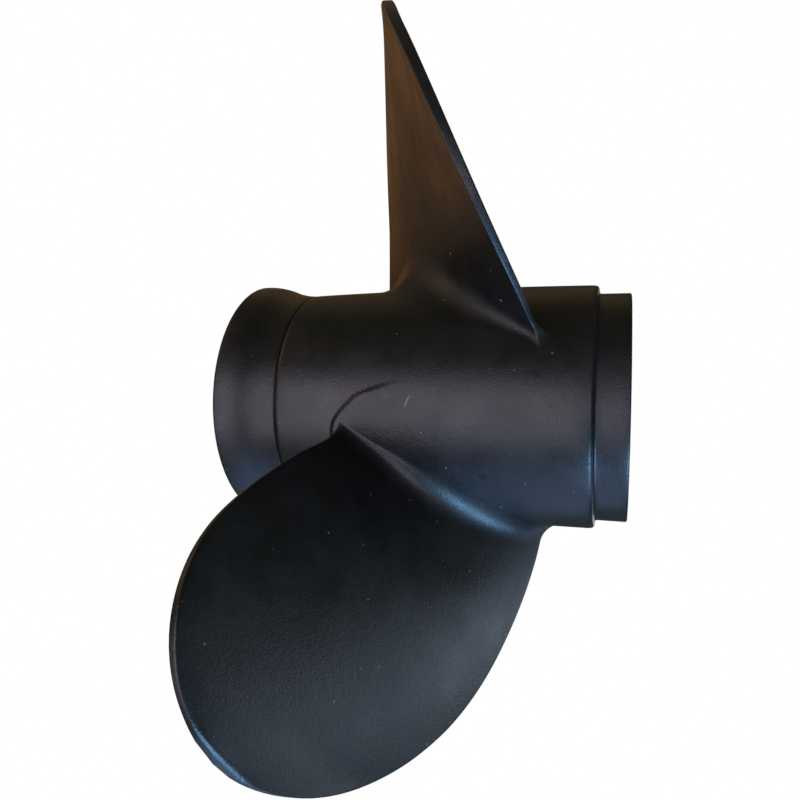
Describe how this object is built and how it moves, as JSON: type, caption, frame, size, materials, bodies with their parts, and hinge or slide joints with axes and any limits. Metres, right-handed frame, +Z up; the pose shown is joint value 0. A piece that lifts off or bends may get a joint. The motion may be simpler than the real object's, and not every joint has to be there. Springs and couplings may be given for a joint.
{
  "type": "outboard boat propeller",
  "caption": "Right-hand cast propeller with raked, skewed blades on a hollow exhaust hub, a flared aft ring, and a rubber-mounted splined drive sleeve.",
  "frame": {"origin": "centre of the shaft bore at the front face of the splined sleeve, where the thrust washer seats", "axes": "+X forward along the shaft, towards the gearcase; +Z up, along the middle of blade 1's root line"},
  "size_m": [0.1212, 0.2265, 0.2215],
  "materials": {
    "casting_paint": "satin",
    "flare_paint": "satin",
    "bush_rubber": "matte",
    "sleeve_bronze": "satin"
  },
  "bodies": {
    "drive_hub": {"splined_sleeve": "sleeve_bronze", "rubber_bush": "bush_rubber"},
    "propeller": {"hub_barrel": "casting_paint", "blade_1": "casting_paint", "blade_2": "casting_paint", "blade_3": "casting_paint", "inner_hub": "casting_paint", "rib_1": "casting_paint", "rib_2": "casting_paint", "rib_3": "casting_paint", "exhaust_flare": "flare_paint"}
  },
  "joints": [
    {"name": "hub_twist", "type": "hinge", "parent": "drive_hub", "child": "propeller", "pos_m": [-0.039, 0, 0], "axis": [1, 0, 0], "range_deg": [-8, 8], "stiffness_Nm_per_rad": 600}
  ]
}
